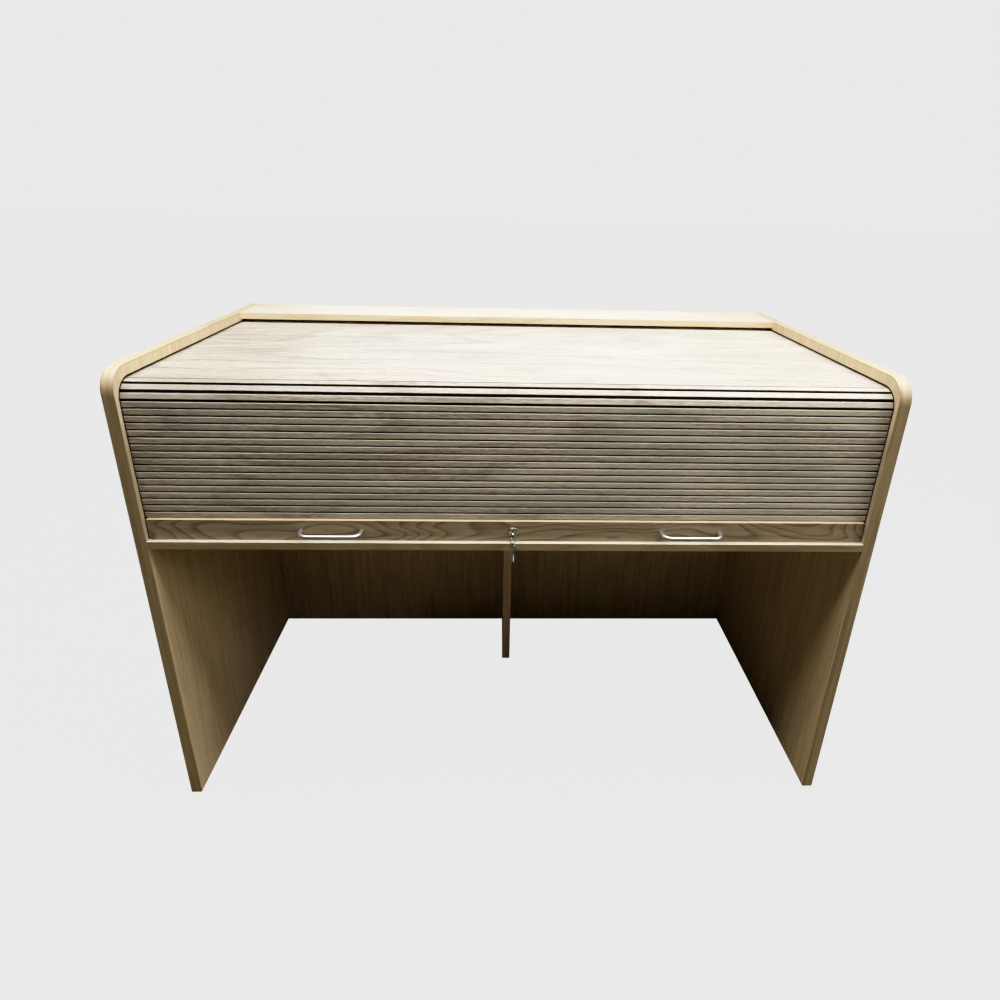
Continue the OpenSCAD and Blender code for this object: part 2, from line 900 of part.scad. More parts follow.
left_side_panel();
right_side_panel();
left_edging();
right_edging();
worktop();
worktop_edging();
rear_top_panel();
rear_top_edging();
modesty_panel();
centre_support();
centre_support_edging();
inner_back_panel();
outer_back_panel();
left_track();
right_track();
front_slats();
corner_slats();
top_slats();
rear_corner_slats();
tail_slats();
front_canvas();
top_canvas();
tail_canvas();
lead_rail();
rail_runners();
canvas_tab();
canvas_strip();
strip_screws();
left_handle();
right_handle();
handle_screws();
lock_housing();
lock_nut();
lock_plug();
lock_cam();
cam_screw();
key();
key_ring();
spare_key();
strike_plate();
strike_screws();
cam_bolts();
cam_discs();
wood_dowels();
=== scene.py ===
"""Looks of the roll top desk: materials, slats, canvas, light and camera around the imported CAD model."""
import math
import random

import bmesh
import bpy
from mathutils import Matrix, Vector


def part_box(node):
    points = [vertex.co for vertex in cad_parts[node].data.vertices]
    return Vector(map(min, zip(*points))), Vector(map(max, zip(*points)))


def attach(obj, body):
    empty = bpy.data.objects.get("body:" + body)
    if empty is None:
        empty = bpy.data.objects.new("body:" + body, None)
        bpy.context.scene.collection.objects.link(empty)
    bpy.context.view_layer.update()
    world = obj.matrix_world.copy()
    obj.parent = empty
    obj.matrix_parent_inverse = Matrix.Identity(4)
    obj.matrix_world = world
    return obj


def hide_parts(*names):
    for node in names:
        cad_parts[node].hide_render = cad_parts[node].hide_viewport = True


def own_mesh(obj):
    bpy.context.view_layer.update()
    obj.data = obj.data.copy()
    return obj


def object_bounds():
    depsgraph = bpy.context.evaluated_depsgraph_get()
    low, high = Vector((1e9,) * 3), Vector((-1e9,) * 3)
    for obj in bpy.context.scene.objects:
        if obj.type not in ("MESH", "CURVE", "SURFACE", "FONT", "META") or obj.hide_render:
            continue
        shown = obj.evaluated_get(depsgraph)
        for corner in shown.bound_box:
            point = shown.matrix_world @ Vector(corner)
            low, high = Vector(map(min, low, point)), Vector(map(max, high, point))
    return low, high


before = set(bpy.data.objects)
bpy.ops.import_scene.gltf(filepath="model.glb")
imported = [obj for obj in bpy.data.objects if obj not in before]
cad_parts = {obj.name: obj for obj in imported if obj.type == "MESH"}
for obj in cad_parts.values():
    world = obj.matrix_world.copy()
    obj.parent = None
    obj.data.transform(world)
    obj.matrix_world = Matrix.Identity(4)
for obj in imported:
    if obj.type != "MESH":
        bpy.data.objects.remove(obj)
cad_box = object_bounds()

# Camera, in metres and degrees: a wide lens just above the desk, a little left of its middle
CAMERA_PLACE = (-0.035, -1.560, 1.4226)
CAMERA_TURN = -2.263
CAMERA_TILT = -21.144
CAMERA_ROLL = -1.427
CAMERA_LENS = 22.386
CAMERA_SHIFT = (-0.0204, -0.0610)
SENSOR_WIDTH = 36.0

# Soft lights: name, place, where it points, size in metres, power in watts
LIGHTS = (
    ("overhead", (0.45, -0.46, 2.55), (0.45, -0.46, 0.0), (4.4, 1.0), 138.0),
    ("front_right", (2.6, -1.5, 2.2), (-0.6, -0.3, 0.3), (1.0, 1.0), 22.0),
    ("back", (0.0, 3.2, 1.9), (0.0, 0.4, 0.6), (3.0, 1.5), 30.0),
    ("left", (-3.2, 0.5, 1.8), (-0.8, 0.2, 0.6), (1.6, 1.6), 12.0),
    ("right", (3.2, 0.5, 1.8), (0.8, 0.2, 0.6), (1.6, 1.6), 12.0),
)

# Floor and surroundings: what the camera sees, and what the light meets
STAGE_COLOUR = (1.0, 1.0, 1.0)
FLOOR_GLOW = 0.985
FLOOR_SHADING = (0.015, 0.015, 0.015)
FLOOR_BOUNCE = (0.240, 0.220, 0.150)
WORLD_FILL = 0.015
FLOOR_HALF = 40.0
FLOOR_DROP = 0.0005

# Film curve, from scene light to shown light: soft highlights, deeper shadows
WHITE_LEVEL = 1.6
FILM_CURVE = ((0.02, 0.012), (0.06, 0.048), (0.12, 0.112), (0.25, 0.255), (0.5, 0.51),
              (0.8, 0.72), (1.15, 0.87), (1.6, 0.97))

# Curtain
SLAT_PITCH = 0.01525
SLAT_WIDTH = 0.012
SLAT_EDGE_RADIUS = 0.0013
SLAT_FLAT_MARGIN = 0.0002
SLAT_FACING = 0.0016
EDGE_STEPS = 4
FRONT_SLATS = 16
TAIL_SLATS = 5
BEND_RADIUS = 0.032
CANVAS_THICKNESS = 0.0008
CANVAS_OFF_SLATS = 0.00005
CANVAS_STEP = 0.008
CANVAS_GAP = 0.0004

# How edges are rounded and shaded
JOIN_DISTANCE = 0.00001
ROUND_SEGMENTS = 2
ROUNDED_ANGLE = 50
SMOOTH_ANGLE = 40

# Change of tone per metre across the curtain: painted light, paler to the right where more light falls
PAINTED_LIGHT_ACROSS = -0.38

# Name of the mesh attribute that gives each slat its own tone, from -0.5 to 0.5, less on its edges, which
# makes them paler as a painted highlight
SHADE = "shade"
# How much paler the slats' rounded edges are painted: a painted highlight
PAINTED_EDGE_HIGHLIGHT = 1.6

# Wood colours, linear
OAK_LIGHT = (0.71, 0.555, 0.355)
OAK_DARK = (0.43, 0.300, 0.150)
# Painted light: the end panels' edging where its faces point up, lighter as if lit from above
EDGE_LIGHT = (0.60, 0.475, 0.300)
EDGE_DARK = (0.38, 0.275, 0.145)
# Painted shade: edging faces that don't point up, a darker shaded copy of the same wood
LIP_LIGHT = (0.40, 0.300, 0.170)
LIP_DARK = (0.22, 0.145, 0.066)
VENEER_LIGHT = (0.64, 0.565, 0.455)
VENEER_DARK = (0.235, 0.188, 0.142)
VENEER_GREY = (0.39, 0.365, 0.305)
TOP_LIGHT = (0.74, 0.665, 0.500)
TOP_DARK = (0.50, 0.430, 0.300)
# Painted light: lighter colours for the faces of the rail and the worktop's edging that point up
RAIL_PAINTED_TOP_LIGHT = (0.66, 0.530, 0.330)
RAIL_PAINTED_TOP_DARK = (0.51, 0.390, 0.220)
LIP_PAINTED_TOP_LIGHT = (0.98, 0.945, 0.700)
LIP_PAINTED_TOP_DARK = (0.92, 0.855, 0.600)
REAR_EDGE_LIGHT = (0.78, 0.615, 0.395)
REAR_EDGE_DARK = (0.50, 0.360, 0.200)
FIN_LIGHT = (0.76, 0.580, 0.410)
FIN_DARK = (0.48, 0.335, 0.200)
RAIL_LIGHT = (0.40, 0.305, 0.200)
RAIL_DARK = (0.105, 0.066, 0.032)
DOWEL_LIGHT = (0.62, 0.48, 0.30)
DOWEL_DARK = (0.45, 0.32, 0.18)
PORE = (0.20, 0.125, 0.060)

# Waves per metre along and across the grain
STREAKS = (2.2, 120.0)
THREADS = (5.0, 420.0)
PORES = (42.0, 950.0)
FLECKS = (48.0, 300.0)
PATCHES = (3.1, 9.0)
CLOUDS = (0.9, 2.6)

# Mean levels of the rings and of a noise, taken off so that a wood's depth alone sets its mean tone
RING_MEAN = 0.35
NOISE_MEAN = 0.5

# Painted shade on the end panels, a darker strip on their front above the worktop: its colour, back edge,
# and (height, share) from the worktop up
STRIP_SHADE = (0.34, 0.270, 0.180)
STRIP_SHADE_BACK = -0.365
STRIP_SHADE_HEIGHTS = ((0.72, 0.0), (0.74, 0.75), (0.97, 0.75), (1.0, 0.30))

# Other colours, each with the one that it varies to
# Painted shade: near-black slat sides, for the shade in the gaps between slats
SLAT_GAP_SHADE = (0.020, 0.010, 0.008)
SLAT_GAP_SHADE_PALE = (0.045, 0.026, 0.018)
TRACK = (0.006, 0.005, 0.004)
TRACK_DUST = (0.03, 0.025, 0.02)
CANVAS_DARK = (0.030, 0.020, 0.014)
CANVAS_LIGHT = (0.075, 0.055, 0.040)
STEEL = (0.86, 0.88, 0.92)
STEEL_DULL = (0.76, 0.78, 0.82)
# Painted shade for the undersides of the handles
STEEL_PAINTED_SHADE = (0.10, 0.10, 0.10)
CHROME = (0.60, 0.60, 0.58)
CHROME_DULL = (0.46, 0.46, 0.44)
KEY_STEEL = (0.34, 0.33, 0.30)
KEY_STEEL_DULL = (0.20, 0.19, 0.17)
ZINC = (0.62, 0.61, 0.56)
ZINC_DULL = (0.46, 0.44, 0.38)

# Radians per metre of the canvas's threads
THREAD_TURNS = 5200.0


# ---------------------------------------------------------------- node graphs

class Graph:
    """A material's node tree, with one short call for each kind of node."""

    def __init__(self, name):
        self.material = bpy.data.materials.new(name)
        self.material.use_nodes = True
        self.tree = self.material.node_tree
        self.tree.nodes.clear()
        self.shader = self.node("ShaderNodeBsdfPrincipled")
        output = self.node("ShaderNodeOutputMaterial")
        self.tree.links.new(self.shader.outputs["BSDF"], output.inputs["Surface"])

    def node(self, kind, **settings):
        made = self.tree.nodes.new(kind)
        for name, value in settings.items():
            setattr(made, name, value)
        return made

    def feed(self, socket, value):
        if isinstance(value, bpy.types.NodeSocket):
            self.tree.links.new(value, socket)
        else:
            socket.default_value = value

    def set(self, name, value):
        if isinstance(value, tuple) and len(value) == 3:
            value = (*value, 1.0)
        self.feed(self.shader.inputs[name], value)

    def maths(self, operation, first, second=0.0, third=0.0):
        made = self.node("ShaderNodeMath", operation=operation)
        for socket, value in zip(made.inputs, (first, second, third)):
            self.feed(socket, value)
        return made.outputs[0]

    def place(self, grain):
        """Object coordinates with the grain's direction first."""
        place = self.node("ShaderNodeTexCoord").outputs["Object"]
        if grain == "x":
            return place
        x, y, z = self.parts_of(place)
        if grain == "z":
            parts = (z, y, x)
        elif grain == "slat":
            parts = (x, self.maths("ADD", y, z), 0.0)
        else:
            parts = (self.maths("ADD", y, z), x, 0.0)
        joined = self.node("ShaderNodeCombineXYZ")
        for socket, value in zip(joined.inputs, parts):
            self.feed(socket, value)
        return joined.outputs[0]

    def parts_of(self, vector):
        split = self.node("ShaderNodeSeparateXYZ")
        self.feed(split.inputs[0], vector)
        return split.outputs

    def stretch(self, place, along, across, seed=0.0):
        made = self.node("ShaderNodeVectorMath", operation="MULTIPLY_ADD")
        self.feed(made.inputs[0], place)
        made.inputs[1].default_value = (along, across, across)
        made.inputs[2].default_value = (seed, seed * 1.7, seed * 0.6)
        return made.outputs[0]

    def noise(self, place, detail=2.0, roughness=0.5, distortion=0.0):
        made = self.node("ShaderNodeTexNoise")
        self.feed(made.inputs["Vector"], place)
        made.inputs["Scale"].default_value = 1.0
        made.inputs["Detail"].default_value = detail
        made.inputs["Roughness"].default_value = roughness
        made.inputs["Distortion"].default_value = distortion
        return made.outputs["Fac"]

    def ramp(self, factor, *stops):
        """A curve through (place, value) stops."""
        made = self.node("ShaderNodeValToRGB")
        elements = made.color_ramp.elements
        while len(elements) < len(stops):
            elements.new(0.5)
        for element, (place, value) in zip(elements, stops):
            element.position = place
            element.color = (value, value, value, 1.0)
        self.feed(made.inputs[0], factor)
        return made.outputs["Color"]

    def mix(self, factor, first, second):
        made = self.node("ShaderNodeMix", data_type="RGBA")
        self.feed(made.inputs["Factor"], factor)
        for socket, value in zip((made.inputs[6], made.inputs[7]), (first, second)):
            self.feed(socket, (*value, 1.0) if isinstance(value, tuple) else value)
        return made.outputs[2]

    def bump(self, height, distance, strength=1.0):
        made = self.node("ShaderNodeBump")
        made.inputs["Strength"].default_value = strength
        made.inputs["Distance"].default_value = distance
        self.feed(made.inputs["Height"], height)
        self.feed(self.shader.inputs["Normal"], made.outputs["Normal"])


# ---------------------------------------------------------------- materials

def wood(name, grain, light, dark, figure=0.5, rings=8.0, ring_size=(0.8, 4.5), seed=0.0,
         streak=0.5, pore=0.5, blush=None, rough=0.42, uneven=0.0, depth=0.35,
         painted_top=None, fine=0.3, fleck=0.0, cloud=0.4, shaded=False):
    """Veneered board: cathedral rings, streaks and fine threads along the grain, short flecks, open
    pores and slow tones. Where it is uneven, each slat has a tone of its own."""
    graph = Graph(name)
    place = graph.place(grain)
    field = graph.noise(graph.stretch(place, *ring_size, seed), 2.0, 0.42, 0.15)
    phase = graph.maths("FRACT", graph.maths("MULTIPLY", field, rings))
    ring = graph.ramp(phase, (0.0, 0.0), (0.55, 0.25), (0.86, 1.0), (1.0, 0.0))
    streaks = graph.noise(graph.stretch(place, *STREAKS, seed + 3.0), 4.0, 0.62)
    threads = graph.noise(graph.stretch(place, *THREADS, seed + 21.0), 2.0, 0.6)
    pores = graph.noise(graph.stretch(place, *PORES, seed + 5.0), 1.0, 0.5)
    pores = graph.ramp(pores, (0.56, 0.0), (0.70, 1.0))
    clouds = graph.noise(graph.stretch(place, *CLOUDS, seed + 9.0), 2.0, 0.5)
    flecks = graph.noise(graph.stretch(place, *FLECKS, seed + 31.0), 2.0, 0.6)
    tone = depth - RING_MEAN * figure - NOISE_MEAN * (streak + fine + fleck + cloud)
    for part, share in ((ring, figure), (streaks, streak), (threads, fine), (flecks, fleck),
                        (clouds, cloud)):
        tone = graph.maths("MULTIPLY_ADD", part, share, tone)
    if uneven:
        # Each slat's own tone, paler on its rounded edges as a painted highlight
        shade = graph.node("ShaderNodeAttribute", attribute_name=SHADE)
        tone = graph.maths("MULTIPLY_ADD", shade.outputs["Fac"], uneven, tone)
        # Painted light: paler towards the right of the curtain
        tone = graph.maths("MULTIPLY_ADD", graph.parts_of(place)[0], PAINTED_LIGHT_ACROSS, tone)
    clamped = graph.maths("MINIMUM", graph.maths("MAXIMUM", tone, 0.0), 1.0)
    colour = graph.mix(clamped, light, dark)
    if blush:
        patches = graph.noise(graph.stretch(place, *PATCHES, seed + 13.0), 3.0, 0.55)
        patches = graph.ramp(patches, (0.42, 0.0), (0.62, 0.50))
        colour = graph.mix(patches, colour, blush)
    pore_share = graph.maths("MULTIPLY", graph.maths("MULTIPLY_ADD", ring, 0.6, 0.4), pore)
    colour = graph.mix(graph.maths("MULTIPLY", pores, pore_share), colour, PORE)
    # Painted light: faces that point up get a lighter copy of the wood, as if lit from above
    if painted_top:
        upward = graph.parts_of(graph.node("ShaderNodeTexCoord").outputs["Normal"])[2]
        painted_top_share = graph.ramp(upward, (0.15, 0.0), (0.95, 1.0))
        colour = graph.mix(painted_top_share, colour, graph.mix(clamped, *painted_top))
    # Painted shade: a darker strip on the front of the end panels above the worktop
    if shaded:
        colour = graph.mix(shaded_strip(graph), colour, STRIP_SHADE)
    graph.set("Base Color", colour)
    roughness = graph.maths("MULTIPLY_ADD", streaks, 0.18, rough - 0.05)
    graph.set("Roughness", graph.maths("MULTIPLY_ADD", pores, 0.15, roughness))
    relief = graph.maths("MULTIPLY_ADD", pores, -0.8, streaks)
    graph.bump(relief, 0.00018, 0.7)
    return graph.material


def shaded_strip(graph):
    """Painted shade: a darker strip on the front of the end panels above the worktop."""
    place = graph.parts_of(graph.node("ShaderNodeTexCoord").outputs["Object"])
    in_front = graph.maths("LESS_THAN", place[1], STRIP_SHADE_BACK)
    upright = graph.ramp(place[2], *STRIP_SHADE_HEIGHTS)
    return graph.maths("MULTIPLY", in_front, upright)


def slat_gap_shade():
    """Dark back and sides of the slats below their veneered face: painted shade for the gaps between
    slats, slightly mottled.
    """
    graph = Graph("slat_gap_shade")
    mottle = graph.noise(graph.stretch(graph.place("slat"), 40.0, 400.0), 3.0, 0.6)
    graph.set("Base Color", graph.mix(mottle, SLAT_GAP_SHADE, SLAT_GAP_SHADE_PALE))
    graph.set("Roughness", graph.maths("MULTIPLY_ADD", mottle, 0.2, 0.7))
    graph.bump(mottle, 0.0001, 0.5)
    return graph.material


def black_plastic():
    """Extruded black track: satin, with fine lines and dusty patches."""
    graph = Graph("black_plastic")
    place = graph.place("x")
    dust = graph.noise(graph.stretch(place, 22.0, 22.0), 4.0, 0.6)
    grit = graph.noise(graph.stretch(place, 900.0, 900.0, 2.0), 2.0, 0.5)
    dusty = graph.ramp(dust, (0.45, 0.0), (0.75, 0.25))
    graph.set("Base Color", graph.mix(dusty, TRACK, TRACK_DUST))
    graph.set("Roughness", graph.maths("MULTIPLY_ADD", dust, 0.25, 0.50))
    graph.set("Specular IOR Level", 0.25)
    graph.bump(grit, 0.00008, 0.6)
    return graph.material


def canvas():
    """Plain woven backing: crossed threads, with uneven glue stains."""
    graph = Graph("canvas")
    along, across, _ = graph.parts_of(graph.place("slat"))
    warp = graph.maths("SINE", graph.maths("MULTIPLY", along, THREAD_TURNS))
    weft = graph.maths("SINE", graph.maths("MULTIPLY", across, THREAD_TURNS))
    weave = graph.maths("MULTIPLY", warp, weft)
    stain = graph.noise(graph.stretch(graph.place("x"), 14.0, 30.0, 4.0), 4.0, 0.6)
    thread = graph.maths("MULTIPLY_ADD", weave, 0.25, stain)
    graph.set("Base Color", graph.mix(thread, CANVAS_DARK, CANVAS_LIGHT))
    graph.set("Roughness", graph.maths("MULTIPLY_ADD", stain, 0.2, 0.75))
    graph.bump(weave, 0.0003, 0.8)
    return graph.material


def metal(name, colour, tint, rough, spread, lines=(60.0, 60.0), relief=0.00002, under=None):
    """Metal with fine lines along X and smudges that change its gloss; if asked, faces that point down are
    painted darker as painted shade.
    """
    graph = Graph(name)
    place = graph.place("x")
    brushed = graph.noise(graph.stretch(place, *lines, 1.0), 3.0, 0.6)
    smudge = graph.noise(graph.stretch(place, 70.0, 70.0, 7.0), 3.0, 0.55)
    shown = graph.mix(smudge, colour, tint)
    # Painted shade: faces that point down darken towards the shade colour
    if under:
        upward = graph.parts_of(graph.node("ShaderNodeTexCoord").outputs["Normal"])[2]
        facing = graph.maths("MULTIPLY_ADD", upward, 0.5, 0.5)
        shown = graph.mix(graph.ramp(facing, (0.36, 1.0), (0.52, 0.0)), shown, under)
    graph.set("Base Color", shown)
    graph.set("Metallic", 1.0)
    blotch = graph.maths("MULTIPLY_ADD", smudge, spread, rough - 0.5 * spread)
    graph.set("Roughness", graph.maths("MULTIPLY_ADD", brushed, spread, blotch))
    graph.bump(brushed, relief, 0.5)
    return graph.material


MATERIALS = {
    "board_upright": wood("board_upright", "z", OAK_LIGHT, OAK_DARK, figure=0.20, rings=9.0,
                          ring_size=(0.40, 9.0), seed=1.3, streak=0.7, fine=2.2, pore=0.5,
                          shaded=True),
    "board_top": wood("board_top", "x", TOP_LIGHT, TOP_DARK, figure=0.30, seed=8.4,
                      streak=0.8, fine=0.8, pore=0.45),
    "edging_side": wood("edging_side", "edge", LIP_LIGHT, LIP_DARK, figure=0.45, seed=2.2,
                        ring_size=(1.6, 30.0), rings=6.0, streak=1.0, fine=0.6, pore=0.5,
                        painted_top=(EDGE_LIGHT, EDGE_DARK)),
    "edging_level": wood("edging_level", "x", REAR_EDGE_LIGHT, REAR_EDGE_DARK, figure=0.45,
                         ring_size=(1.4, 16.0), rings=6.0, seed=6.6, streak=0.7, pore=0.4),
    "edging_lip": wood("edging_lip", "x", LIP_LIGHT, LIP_DARK, figure=0.5, seed=2.9,
                       ring_size=(1.6, 22.0), rings=8.0, streak=0.9, fine=0.6, pore=0.5,
                       painted_top=(LIP_PAINTED_TOP_LIGHT, LIP_PAINTED_TOP_DARK)),
    "edging_upright": wood("edging_upright", "z", FIN_LIGHT, FIN_DARK, figure=0.3, seed=3.7,
                           ring_size=(1.2, 22.0), rings=4.0, streak=0.7, pore=0.4),
    "slat": wood("slat", "slat", VENEER_LIGHT, VENEER_DARK, figure=0.42, rings=11.0,
                 ring_size=(0.9, 4.2), seed=5.5, streak=1.1, fine=1.0, fleck=1.8, pore=0.50,
                 blush=VENEER_GREY, uneven=0.30, depth=0.44, rough=0.30, cloud=0.12),
    "slat_gap_shade": slat_gap_shade(),
    "rail_wood": wood("rail_wood", "x", RAIL_LIGHT, RAIL_DARK, figure=0.62, rings=25.0,
                      ring_size=(1.9, 7.5), seed=7.9, streak=1.0, fine=0.5, fleck=0.3, pore=0.45,
                      painted_top=(RAIL_PAINTED_TOP_LIGHT, RAIL_PAINTED_TOP_DARK)),
    "black_plastic": black_plastic(),
    "canvas": canvas(),
    "satin_steel": metal("satin_steel", STEEL, STEEL_DULL, rough=0.34, spread=0.08,
                         lines=(12.0, 700.0), under=STEEL_PAINTED_SHADE),
    "chrome": metal("chrome", CHROME, CHROME_DULL, rough=0.10, spread=0.05, relief=0.000003),
    "key_steel": metal("key_steel", KEY_STEEL, KEY_STEEL_DULL, rough=0.16, spread=0.10,
                       lines=(400.0, 90.0), relief=0.000008),
    "zinc_plate": metal("zinc_plate", ZINC, ZINC_DULL, rough=0.30, spread=0.16),
    "dowel_wood": wood("dowel_wood", "x", DOWEL_LIGHT, DOWEL_DARK, figure=0.2,
                       seed=9.1, streak=0.6, pore=0.2),
}

FINISHES = {
    "board_upright": ["left_side_panel", "right_side_panel", "modesty_panel", "centre_support",
                      "inner_back_panel", "outer_back_panel"],
    "board_top": ["rear_top_panel", "worktop"],
    "edging_side": ["left_edging", "right_edging"],
    "edging_level": ["rear_top_edging"],
    "edging_lip": ["worktop_edging"],
    "edging_upright": ["centre_support_edging"],
    "rail_wood": ["lead_rail"],
    "black_plastic": ["left_track", "right_track", "rail_runners"],
    "canvas": ["canvas_tab"],
    "satin_steel": ["left_handle", "right_handle"],
    "chrome": ["lock_housing", "lock_plug", "key", "key_ring"],
    "key_steel": ["spare_key"],
    "zinc_plate": ["lock_nut", "lock_cam", "cam_screw", "canvas_strip", "strip_screws",
                   "handle_screws", "strike_plate", "strike_screws", "cam_bolts", "cam_discs"],
    "dowel_wood": ["wood_dowels"],
}

EDGE_ROUNDS = {
    "board_upright": 0.0003,
    "board_top": 0.0003,
    "edging_side": 0.0008,
    "edging_level": 0.0008,
    "edging_lip": 0.0008,
    "edging_upright": 0.0008,
    "rail_wood": 0.0006,
}


def finish_cad_nodes():
    """Each carried CAD node gets its material, and the wooden ones a small rounding of their edges."""
    for finish, names in FINISHES.items():
        for name in names:
            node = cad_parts[name]
            for slot in node.material_slots:
                slot.link = "OBJECT"
                slot.material = MATERIALS[finish]
            if finish in EDGE_ROUNDS:
                soften(node, EDGE_ROUNDS[finish])


def soften(piece, radius):
    """Round the sharp edges of a piece, after joining the points that its faces share."""
    weld = piece.modifiers.new("join", "WELD")
    weld.merge_threshold = JOIN_DISTANCE
    bevel = piece.modifiers.new("round", "BEVEL")
    bevel.width = radius
    bevel.segments = ROUND_SEGMENTS
    bevel.limit_method = "ANGLE"
    bevel.angle_limit = math.radians(ROUNDED_ANGLE)


# ---------------------------------------------------------------- curtain

FRONT_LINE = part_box("front_slats")[1][1]
REAR_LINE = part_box("tail_slats")[0][1]
TOP_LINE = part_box("top_slats")[0][2]
RAIL_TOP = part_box("lead_rail")[1][2]
SLAT_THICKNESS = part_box("top_slats")[1][2] - TOP_LINE
BEND_LENGTH = BEND_RADIUS * math.pi / 2
FRONT_LENGTH = TOP_LINE - BEND_RADIUS - RAIL_TOP
TOP_LENGTH = REAR_LINE - FRONT_LINE - 2 * BEND_RADIUS
REAR_START = FRONT_LENGTH + BEND_LENGTH + TOP_LENGTH


def path_frame(distance):
    """Point on the line of the slats' backs, and the outward direction there, both in the YZ plane."""
    bend_height = TOP_LINE - BEND_RADIUS
    if distance < FRONT_LENGTH:
        return Vector((FRONT_LINE, RAIL_TOP + distance)), Vector((-1.0, 0.0))
    if distance < FRONT_LENGTH + BEND_LENGTH:
        angle = (distance - FRONT_LENGTH) / BEND_RADIUS
        outward = Vector((-math.cos(angle), math.sin(angle)))
        return Vector((FRONT_LINE + BEND_RADIUS, bend_height)) + BEND_RADIUS * outward, outward
    if distance < REAR_START:
        along = distance - FRONT_LENGTH - BEND_LENGTH
        return Vector((FRONT_LINE + BEND_RADIUS + along, TOP_LINE)), Vector((0.0, 1.0))
    if distance < REAR_START + BEND_LENGTH:
        angle = (distance - REAR_START) / BEND_RADIUS
        outward = Vector((math.sin(angle), math.cos(angle)))
        return Vector((REAR_LINE - BEND_RADIUS, bend_height)) + BEND_RADIUS * outward, outward
    down = distance - REAR_START - BEND_LENGTH
    return Vector((REAR_LINE, bend_height - down)), Vector((1.0, 0.0))


def slat_section():
    """A slat's section, as (along the path, outward) points: flat back and face, round front edges.
    The points where the veneer ends are the third and the last."""
    half = SLAT_WIDTH / 2
    radius = SLAT_EDGE_RADIUS
    flat_half = half - radius - SLAT_FLAT_MARGIN
    veneer_end = SLAT_THICKNESS - SLAT_FACING
    points = [(-half, 0.0), (half, 0.0), (half, veneer_end)]
    for step in range(EDGE_STEPS + 1):
        angle = math.radians(90 * step / EDGE_STEPS)
        across = half - radius + radius * math.cos(angle)
        points.append((across, SLAT_THICKNESS - radius + radius * math.sin(angle)))
    points += [(flat_half, SLAT_THICKNESS), (-flat_half, SLAT_THICKNESS)]
    for step in range(EDGE_STEPS + 1):
        angle = math.radians(90 + 90 * step / EDGE_STEPS)
        across = -half + radius + radius * math.cos(angle)
        points.append((across, SLAT_THICKNESS - radius + radius * math.sin(angle)))
    points.append((-half, veneer_end))
    return points


def piece_from(mesh_maker, name, finish, body, nodes):
    """A new mesh piece that rides on a body and stands for CAD nodes."""
    build = bmesh.new()
    mesh_maker(build)
    bmesh.ops.recalc_face_normals(build, faces=build.faces)
    mesh = bpy.data.meshes.new(name)
    build.to_mesh(mesh)
    build.free()
    mesh.shade_smooth()
    mesh.set_sharp_from_angle(angle=math.radians(SMOOTH_ANGLE))
    piece = bpy.data.objects.new(name, mesh)
    bpy.context.scene.collection.objects.link(piece)
    mesh.materials.append(MATERIALS[finish])
    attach(piece, body)
    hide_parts(*nodes)
    return piece


def extrude_rings(build, rings):
    """Skin a run of closed rings of points, with flat ends. Gives the faces, the ends last."""
    rows = [[build.verts.new(point) for point in ring] for ring in rings]
    count = len(rows[0])
    faces = []
    for row, following in zip(rows, rows[1:]):
        for place in range(count):
            after = (place + 1) % count
            faces.append(build.faces.new((row[place], row[after], following[after], following[place])))
    return faces + [build.faces.new(rows[0]), build.faces.new(rows[-1])]


def slats(name, first, last, body, nodes):
    """Slats first to last of the curtain, counted from the rail, as one piece."""
    half_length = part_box("top_slats")[1][0]
    section = slat_section()
    dark_sides = (0, 1, len(section) - 1)
    flat_face = EDGE_STEPS + 4
    tones = random.Random(name)

    def make(build):
        shade = build.faces.layers.float.new(SHADE)
        for number in range(first, last + 1):
            centre, outward = path_frame((number + 0.5) * SLAT_PITCH)
            onward = Vector((outward[1], -outward[0]))
            ring = [centre + u * onward + w * outward for u, w in section]
            ends = [[(x, y, z) for y, z in ring] for x in (-half_length, half_length)]
            faces = extrude_rings(build, ends)
            tone = tones.uniform(-0.5, 0.5)
            for place, face in enumerate(faces):
                # Faces off the flat face are painted paler: a painted highlight on the rounded edges
                face[shade] = tone if place == flat_face else tone - PAINTED_EDGE_HIGHLIGHT
                # The back and sides take the near-black material, painted shade for the gaps
                face.material_index = 1 if place in dark_sides else 0

    piece = piece_from(make, name, "slat", body, nodes)
    piece.data.materials.append(MATERIALS["slat_gap_shade"])
    return piece


def canvas_run(name, start, end, body, node):
    """The canvas glued to the slats' backs, between two distances along the path."""
    half_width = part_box("front_canvas")[1][0]
    steps = max(2, math.ceil((end - start) / CANVAS_STEP))

    def make(build):
        rings = []
        for step in range(steps + 1):
            centre, outward = path_frame(start + (end - start) * step / steps)
            outer = centre - CANVAS_OFF_SLATS * outward
            inner = centre - CANVAS_THICKNESS * outward
            rings.append([(-half_width, *outer), (half_width, *outer),
                          (half_width, *inner), (-half_width, *inner)])
        extrude_rings(build, rings)

    piece = piece_from(make, name, "canvas", body, [node])
    return piece


def slats_before(distance):
    """How many slats have their middle before a distance along the path."""
    return math.ceil(distance / SLAT_PITCH - 0.5)


